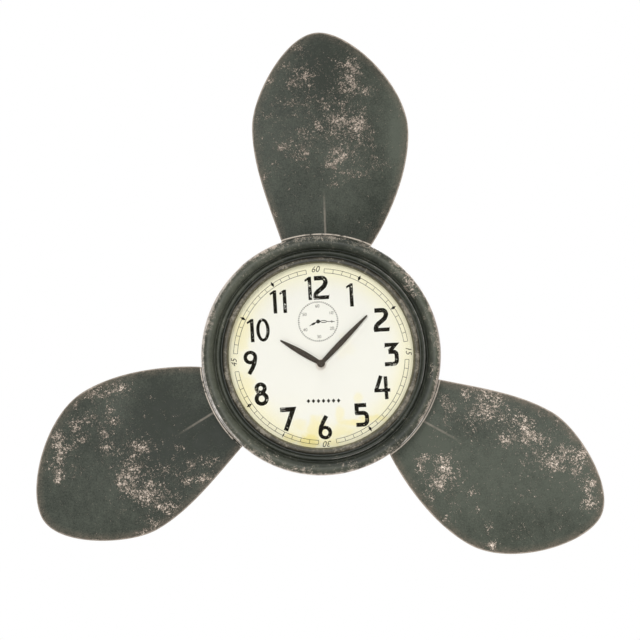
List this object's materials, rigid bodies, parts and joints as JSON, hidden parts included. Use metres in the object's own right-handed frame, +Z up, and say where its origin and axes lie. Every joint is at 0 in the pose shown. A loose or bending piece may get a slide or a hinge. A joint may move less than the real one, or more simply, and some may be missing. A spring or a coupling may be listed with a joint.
{
  "type": "propeller wall clock",
  "caption": "Wall clock shaped like an aircraft propeller: cambered painted-metal blades round a ring bezel, cream numbered dial, and a battery movement behind it.",
  "frame": {"origin": "hanging point: where the axis of the hanger's keyhole meets the wall plane", "axes": "+Z up, +Y into the wall, the dial faces -Y, +X to the right as seen from the front"},
  "size_m": [0.713, 0.0553, 0.6551],
  "materials": {
    "hub_paint": "matt green-black paint, worn through along the edges",
    "blade_paint": "matt green-grey paint with flaked beige patches",
    "trim_paint": "rubbed brown-grey paint",
    "lens_glass": "clear flat glass",
    "dial_paper": "printed cream sheet, yellowed at the edge",
    "fibreboard": "hardboard",
    "plain_steel": "zinc-plated",
    "black_screw": "black",
    "hand_paint": "dark brown matt paint",
    "brass_parts": "satin brass",
    "rubber_seal": "soft black",
    "movement_case": "black moulded",
    "wheel_plastic": "off-white moulded",
    "magnet_iron": "plain",
    "copper_wire": "enamelled copper",
    "circuit_green": "solder mask",
    "cell_jacket": "plain jacket"
  },
  "bodies": {
    "case": {"bezel_ring": "hub_paint", "bezel_screws": "black_screw", "trim_ring": "trim_paint", "lens": "lens_glass", "spacer_ring": "hub_paint", "dial_print": "dial_paper", "dial_board": "fibreboard", "board_screws": "plain_steel", "case_drum": "hub_paint", "case_brackets": "plain_steel", "back_plate": "fibreboard", "back_screws": "plain_steel", "hanger_plate": "plain_steel", "hanger_rivets": "plain_steel", "blade_top": "blade_paint", "blade_left": "blade_paint", "blade_right": "blade_paint", "saddle_top_blade": "hub_paint", "saddle_left_blade": "hub_paint", "saddle_right_blade": "hub_paint", "blade_bolts": "plain_steel", "blade_nuts": "plain_steel", "brass_washer": "brass_parts", "hex_nut": "brass_parts", "rubber_washer": "rubber_seal", "movement_front": "movement_case", "movement_back": "movement_case", "movement_screws": "plain_steel", "train_plate": "wheel_plastic", "stator": "magnet_iron", "coil": "copper_wire", "circuit_board": "circuit_green", "contact_plus": "plain_steel", "contact_minus": "plain_steel"},
    "minute_set": {"minute_hand": "hand_paint", "minute_cap": "hand_paint", "minute_arbor": "brass_parts"},
    "hour_set": {"hour_hand": "hand_paint", "hour_wheel": "wheel_plastic"},
    "motion_set": {"motion_wheel": "wheel_plastic"},
    "setting": {"set_knob": "wheel_plastic"},
    "centre_set": {"centre_wheel": "wheel_plastic"},
    "third_set": {"third_wheel": "wheel_plastic"},
    "seconds_set": {"seconds_wheel": "wheel_plastic"},
    "intermediate_set": {"intermediate_wheel": "wheel_plastic"},
    "rotor_set": {"rotor": "magnet_iron"},
    "cell": {"battery_cell": "cell_jacket"}
  },
  "joints": [
    {"name": "minute_spin", "type": "hinge", "parent": "case", "child": "minute_set", "pos_m": [0, -0.03, -0.1], "axis": [0, 1, 0], "continuous": true},
    {"name": "hour_spin", "type": "hinge", "parent": "case", "child": "hour_set", "pos_m": [0, -0.028, -0.1], "axis": [0, 1, 0], "continuous": true},
    {"name": "motion_spin", "type": "hinge", "parent": "case", "child": "motion_set", "pos_m": [-0.00849, -0.021, -0.09151], "axis": [0, 1, 0], "continuous": true},
    {"name": "knob_spin", "type": "hinge", "parent": "case", "child": "setting", "pos_m": [-0.01976, -0.012, -0.08741], "axis": [0, 1, 0], "continuous": true},
    {"name": "rotor_spin", "type": "hinge", "parent": "case", "child": "rotor_set", "pos_m": [-0.00882, -0.015, -0.08593], "axis": [0, 1, 0], "continuous": true},
    {"name": "intermediate_spin", "type": "hinge", "parent": "case", "child": "intermediate_set", "pos_m": [-0.00093, -0.013, -0.08305], "axis": [0, 1, 0], "continuous": true},
    {"name": "seconds_spin", "type": "hinge", "parent": "case", "child": "seconds_set", "pos_m": [0.00758, -0.014, -0.08456], "axis": [0, 1, 0], "continuous": true},
    {"name": "third_spin", "type": "hinge", "parent": "case", "child": "third_set", "pos_m": [0.00935, -0.016, -0.0946], "axis": [0, 1, 0], "continuous": true},
    {"name": "centre_spin", "type": "hinge", "parent": "case", "child": "centre_set", "pos_m": [0, -0.018, -0.1], "axis": [0, 1, 0], "continuous": true},
    {"name": "cell_slide", "type": "slide", "parent": "case", "child": "cell", "axis": [0, 1, 0], "range_m": [0, 0.03]}
  ],
  "couplings": [
    {"joint": "hour_spin", "follows": "minute_spin", "ratio": 0.083333},
    {"joint": "motion_spin", "follows": "minute_spin", "ratio": -0.33333},
    {"joint": "knob_spin", "follows": "minute_spin", "ratio": 1},
    {"joint": "intermediate_spin", "follows": "rotor_spin", "ratio": -0.16667},
    {"joint": "seconds_spin", "follows": "rotor_spin", "ratio": 0.033333},
    {"joint": "third_spin", "follows": "rotor_spin", "ratio": -0.0044444},
    {"joint": "centre_spin", "follows": "rotor_spin", "ratio": 0.00055556}
  ]
}
